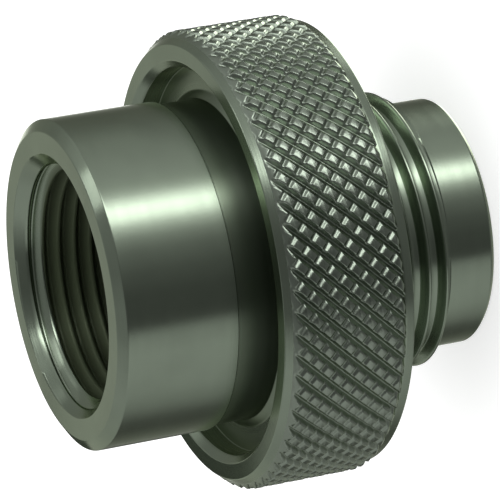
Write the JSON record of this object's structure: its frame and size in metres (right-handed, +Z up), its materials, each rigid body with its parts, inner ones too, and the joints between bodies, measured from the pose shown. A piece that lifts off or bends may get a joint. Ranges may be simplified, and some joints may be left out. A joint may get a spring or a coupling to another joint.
{
  "type": "threaded adapter",
  "caption": "Turned metal adapter with a female pipe thread in a round head, a diamond-knurled collar, a male thread and a plain nose.",
  "frame": {"origin": "centre of the nose's end face, which the adapter stands on", "axes": "+Z up the common axis of both threads, from the nose to the mouth of the female thread"},
  "size_m": [0.049, 0.049, 0.0439],
  "materials": {
    "body": "satin, turned"
  },
  "bodies": {
    "root": {"adapter_body": "body"}
  },
  "joints": []
}
